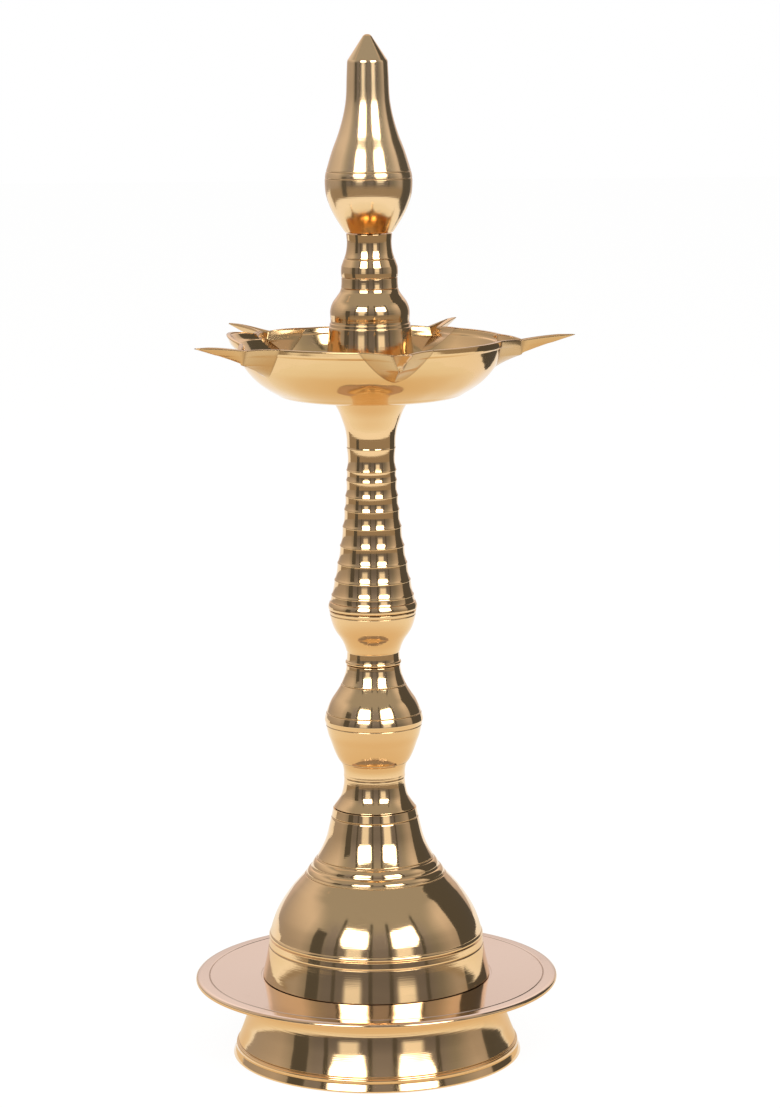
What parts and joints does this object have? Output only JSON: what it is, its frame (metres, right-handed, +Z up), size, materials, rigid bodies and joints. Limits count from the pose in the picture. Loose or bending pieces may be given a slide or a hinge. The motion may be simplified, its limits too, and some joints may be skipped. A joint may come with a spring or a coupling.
{
  "type": "samai lamp",
  "caption": "Standing brass oil lamp with a drip plate on a domed foot, a ringed stem, a shallow bowl with pinched wick spouts and a pear finial.",
  "frame": {"origin": "on the floor under the lamp's axis, at the centre of the ring that the foot stands on", "axes": "+Z up along the lamp's axis, -Y towards the viewer of the picture, +X to their right"},
  "size_m": [0.1441, 0.1432, 0.381],
  "materials": {
    "polished_brass": "turned and polished to a mirror",
    "spun_brass": "polished, with soft waves where the spouts are pinched",
    "threaded_brass": "plain machined, cut with a coarse thread"
  },
  "bodies": {
    "base": {"foot_skirt": "polished_brass", "drip_plate": "polished_brass", "base_dome": "polished_brass"},
    "base_screw": {"base_stud": "threaded_brass"},
    "lower_stem": {"stem_bulb": "polished_brass", "stem_bead": "polished_brass"},
    "stem_screw": {"stem_stud": "threaded_brass"},
    "upper_stem": {"ringed_stem": "polished_brass"},
    "bowl": {"oil_bowl": "spun_brass"},
    "bowl_screw": {"bowl_stud": "threaded_brass"},
    "bell": {"bowl_bell": "polished_brass"},
    "finial_screw": {"finial_stud": "threaded_brass"},
    "top": {"finial": "polished_brass"}
  },
  "joints": [
    {"name": "stem_base_rise", "type": "slide", "parent": "base", "child": "base_screw", "axis": [0, 0, 1], "range_m": [0, 0.01]},
    {"name": "stem_base_unscrew", "type": "hinge", "parent": "base_screw", "child": "lower_stem", "pos_m": [0, 0, 0.0946], "axis": [0, 0, 1], "range_deg": [0, 1800]},
    {"name": "stem_middle_rise", "type": "slide", "parent": "lower_stem", "child": "stem_screw", "axis": [0, 0, 1], "range_m": [0, 0.01]},
    {"name": "stem_middle_unscrew", "type": "hinge", "parent": "stem_screw", "child": "upper_stem", "pos_m": [0, 0, 0.1698], "axis": [0, 0, 1], "range_deg": [0, 1800]},
    {"name": "bell_rise", "type": "slide", "parent": "upper_stem", "child": "bowl_screw", "axis": [0, 0, 1], "range_m": [0, 0.01]},
    {"name": "bell_unscrew", "type": "hinge", "parent": "bowl_screw", "child": "bell", "pos_m": [0, 0, 0.2505], "axis": [0, 0, 1], "range_deg": [0, 1800]},
    {"name": "finial_rise", "type": "slide", "parent": "bell", "child": "finial_screw", "axis": [0, 0, 1], "range_m": [0, 0.01]},
    {"name": "finial_unscrew", "type": "hinge", "parent": "finial_screw", "child": "top", "pos_m": [0, 0, 0.3093], "axis": [0, 0, 1], "range_deg": [0, 1800]},
    {"name": "bowl_turn", "type": "hinge", "parent": "upper_stem", "child": "bowl", "pos_m": [0, 0, 0.2482], "axis": [0, 0, 1], "continuous": true}
  ],
  "couplings": [
    {"joint": "stem_base_unscrew", "follows": "stem_base_rise", "rad_per_m": 3141.6},
    {"joint": "stem_middle_unscrew", "follows": "stem_middle_rise", "rad_per_m": 3141.6},
    {"joint": "bell_unscrew", "follows": "bell_rise", "rad_per_m": 3141.6},
    {"joint": "finial_unscrew", "follows": "finial_rise", "rad_per_m": 3141.6}
  ]
}
